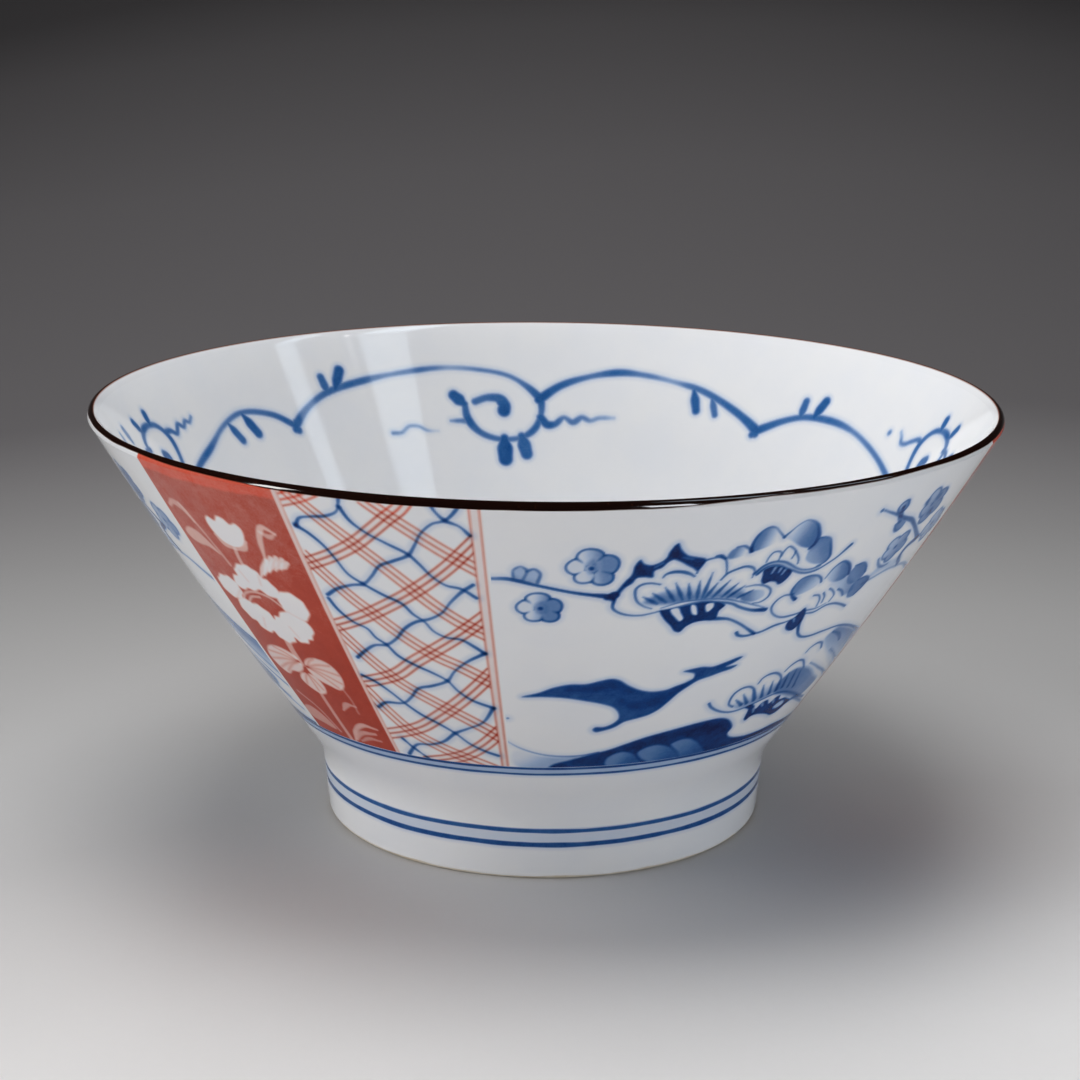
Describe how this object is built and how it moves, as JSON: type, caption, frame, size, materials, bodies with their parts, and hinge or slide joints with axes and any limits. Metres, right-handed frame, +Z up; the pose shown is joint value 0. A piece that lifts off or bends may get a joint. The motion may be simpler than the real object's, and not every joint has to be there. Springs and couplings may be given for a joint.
{
  "type": "noodle bowl",
  "caption": "Flared porcelain noodle bowl on a turned foot ring, with a brown-edged lip, painted panels round the outside and a painted scroll inside.",
  "frame": {"origin": "centre of the circle that the bowl stands on, on the table's surface", "axes": "+Z up along the bowl's axis; -Y towards the picture panel that the picture shows from the front"},
  "size_m": [0.2, 0.2, 0.0945],
  "materials": {
    "painted_glaze": "glossy clear glaze over white porcelain, painted in cobalt blue and iron red",
    "plain_glaze": "glossy clear glaze over white porcelain",
    "foot_glaze": "glossy clear glaze over white porcelain with two cobalt lines",
    "iron_edging": "glossy iron-brown glaze",
    "bare_clay": "unglazed, ground smooth"
  },
  "bodies": {
    "root": {"flared_wall": "painted_glaze", "bowl_floor": "plain_glaze", "foot_ring": "foot_glaze", "rim_edging": "iron_edging", "standing_edge": "bare_clay"}
  },
  "joints": []
}
